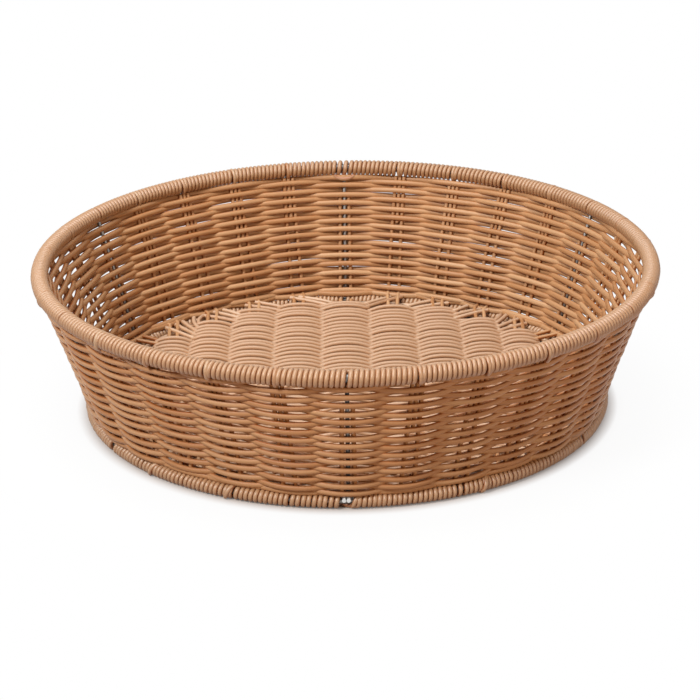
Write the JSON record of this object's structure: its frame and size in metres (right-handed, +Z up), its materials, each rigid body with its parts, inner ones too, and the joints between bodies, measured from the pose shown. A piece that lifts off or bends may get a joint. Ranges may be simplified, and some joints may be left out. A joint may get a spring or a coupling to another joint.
{
  "type": "woven basket",
  "caption": "Low round open basket with flared woven sides, a wound rim and foot on wire rings, and a woven base, for bread, fruit or small goods.",
  "frame": {"origin": "on the floor under the centre of the basket", "axes": "+Z up along the basket's axis, +Y towards the back of the picture's view, where one of the steel uprights stands"},
  "size_m": [0.4002, 0.4, 0.1],
  "materials": {
    "cane": "honey-brown moulded plastic cane with a satin surface and fine grain along its length",
    "steel": "plain grey drawn steel wire"
  },
  "bodies": {
    "root": {"top_ring": "steel", "base_ring": "steel", "upright_1": "steel", "upright_2": "steel", "upright_3": "steel", "upright_4": "steel", "upright_5": "steel", "upright_6": "steel", "stake_01": "cane", "stake_02": "cane", "stake_03": "cane", "stake_04": "cane", "stake_05": "cane", "stake_06": "cane", "stake_07": "cane", "stake_08": "cane", "stake_09": "cane", "stake_10": "cane", "stake_11": "cane", "stake_12": "cane", "stake_13": "cane", "stake_14": "cane", "stake_15": "cane", "stake_16": "cane", "stake_17": "cane", "stake_18": "cane", "stake_19": "cane", "stake_20": "cane", "stake_21": "cane", "stake_22": "cane", "stake_23": "cane", "stake_24": "cane", "stake_25": "cane", "stake_26": "cane", "stake_27": "cane", "stake_28": "cane", "stake_29": "cane", "stake_30": "cane", "base_stick_1": "cane", "base_stick_2": "cane", "base_stick_3": "cane", "base_stick_4": "cane", "base_stick_5": "cane", "base_stick_6": "cane", "base_stick_7": "cane", "base_stick_8": "cane", "base_stick_9": "cane", "side_sticks_left": "cane", "side_sticks_right": "cane", "rim_winding": "cane", "foot_winding": "cane", "wall_weave": "cane", "base_weave": "cane"}
  },
  "joints": []
}
